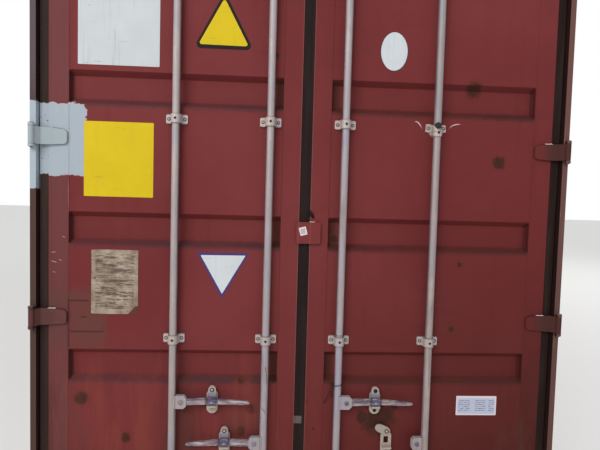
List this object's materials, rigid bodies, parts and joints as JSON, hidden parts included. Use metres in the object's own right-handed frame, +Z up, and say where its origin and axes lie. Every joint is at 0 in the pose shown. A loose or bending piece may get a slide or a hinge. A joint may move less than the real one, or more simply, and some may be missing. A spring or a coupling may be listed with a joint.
{
  "type": "freight container",
  "caption": "High-cube steel freight container, 40 foot size, with corrugated walls and two hinged doors with turning lock bars.",
  "frame": {"origin": "middle of the footprint, at the underside of the corner castings", "axes": "+X across the width to the right seen from the door end, +Y from the doors to the front end, +Z up"},
  "size_m": [2.438, 12.192, 2.896],
  "materials": {
    "casting_paint": "satin red-brown paint, chipped",
    "frame_paint": "satin red-brown paint, weathered",
    "galvanised_steel": "weathered hot-dip galvanised",
    "wall_paint": "satin red-brown paint",
    "vent_plastic": "painted plastic",
    "underframe_coating": "dark wax coating",
    "floor_plywood": "worn plywood",
    "door_paint": "satin red-brown paint, weathered",
    "door_rubber": "matt black rubber"
  },
  "bodies": {
    "container_body": {"door_end_corner_castings": "casting_paint", "front_end_corner_castings": "casting_paint", "rear_corner_posts": "frame_paint", "front_corner_posts": "frame_paint", "door_header": "frame_paint", "door_sill": "frame_paint", "hinge_lugs": "frame_paint", "top_side_rails": "frame_paint", "bottom_side_rails": "frame_paint", "front_top_rail": "frame_paint", "front_bottom_rail": "frame_paint", "cam_keepers": "galvanised_steel", "hinge_pins": "galvanised_steel", "left_side_wall": "wall_paint", "right_side_wall": "wall_paint", "front_wall": "wall_paint", "roof_sheet": "wall_paint", "vents": "vent_plastic", "cross_members": "underframe_coating", "tunnel_outriggers": "underframe_coating", "gooseneck_tunnel": "underframe_coating", "floor_boards": "floor_plywood"},
    "left_door": {"left_door_frame": "door_paint", "left_door_panel": "door_paint", "left_door_seal": "door_rubber", "left_hinge_blades": "door_paint", "left_bar_guides": "galvanised_steel", "left_handle_retainers": "galvanised_steel", "left_lock_plate": "door_paint"},
    "right_door": {"right_door_frame": "door_paint", "right_door_panel": "door_paint", "right_door_seal": "door_rubber", "right_hinge_blades": "door_paint", "right_bar_guides": "galvanised_steel", "right_handle_retainers": "galvanised_steel", "right_lock_plate": "door_paint"},
    "lock_bar_1": {"lock_bar_1": "galvanised_steel"},
    "lock_bar_2": {"lock_bar_2": "galvanised_steel"},
    "lock_bar_3": {"lock_bar_3": "galvanised_steel"},
    "lock_bar_4": {"lock_bar_4": "galvanised_steel"},
    "handle_1": {"handle_1": "galvanised_steel"},
    "handle_2": {"handle_2": "galvanised_steel"},
    "handle_3": {"handle_3": "galvanised_steel"},
    "handle_4": {"handle_4": "galvanised_steel"},
    "catch_1": {"catch_1": "galvanised_steel"},
    "catch_2": {"catch_2": "galvanised_steel"},
    "catch_3": {"catch_3": "galvanised_steel"},
    "catch_4": {"catch_4": "galvanised_steel"}
  },
  "joints": [
    {"name": "left_door_swing", "type": "hinge", "parent": "container_body", "child": "left_door", "pos_m": [-1.2, -6.078, 1.4475], "axis": [0, 0, 1], "range_deg": [-262, 0]},
    {"name": "right_door_swing", "type": "hinge", "parent": "container_body", "child": "right_door", "pos_m": [1.2, -6.078, 1.4475], "axis": [0, 0, -1], "range_deg": [-262, 0]},
    {"name": "lock_bar_1_turn", "type": "hinge", "parent": "left_door", "child": "lock_bar_1", "pos_m": [-0.583, -6.066, 1.4475], "axis": [0, 0, -1], "range_deg": [0, 110]},
    {"name": "lock_bar_2_turn", "type": "hinge", "parent": "left_door", "child": "lock_bar_2", "pos_m": [-0.1655, -6.066, 1.4475], "axis": [0, 0, 1], "range_deg": [0, 110]},
    {"name": "lock_bar_3_turn", "type": "hinge", "parent": "right_door", "child": "lock_bar_3", "pos_m": [0.1725, -6.066, 1.4475], "axis": [0, 0, -1], "range_deg": [0, 110]},
    {"name": "lock_bar_4_turn", "type": "hinge", "parent": "right_door", "child": "lock_bar_4", "pos_m": [0.59, -6.066, 1.4475], "axis": [0, 0, 1], "range_deg": [0, 110]},
    {"name": "handle_1_lift", "type": "hinge", "parent": "lock_bar_1", "child": "handle_1", "pos_m": [-0.542, -6.073, 0.669], "axis": [0, -1, 0], "range_deg": [0, 30]},
    {"name": "handle_2_lift", "type": "hinge", "parent": "lock_bar_2", "child": "handle_2", "pos_m": [-0.2065, -6.073, 0.477], "axis": [0, 1, 0], "range_deg": [0, 30]},
    {"name": "handle_3_lift", "type": "hinge", "parent": "lock_bar_3", "child": "handle_3", "pos_m": [0.2135, -6.073, 0.669], "axis": [0, -1, 0], "range_deg": [0, 30]},
    {"name": "handle_4_lift", "type": "hinge", "parent": "lock_bar_4", "child": "handle_4", "pos_m": [0.549, -6.073, 0.477], "axis": [0, 1, 0], "range_deg": [0, 65]},
    {"name": "catch_1_swing", "type": "hinge", "parent": "left_door", "child": "catch_1", "pos_m": [-0.404, -6.0555, 0.719], "axis": [0, 1, 0], "range_deg": [0, 135]},
    {"name": "catch_2_swing", "type": "hinge", "parent": "left_door", "child": "catch_2", "pos_m": [-0.3445, -6.0555, 0.527], "axis": [0, 1, 0], "range_deg": [0, 135]},
    {"name": "catch_3_swing", "type": "hinge", "parent": "right_door", "child": "catch_3", "pos_m": [0.3515, -6.0555, 0.719], "axis": [0, 1, 0], "range_deg": [0, 135]},
    {"name": "catch_4_swing", "type": "hinge", "parent": "right_door", "child": "catch_4", "pos_m": [0.411, -6.0555, 0.527], "axis": [0, 1, 0], "range_deg": [-112, 0]}
  ]
}
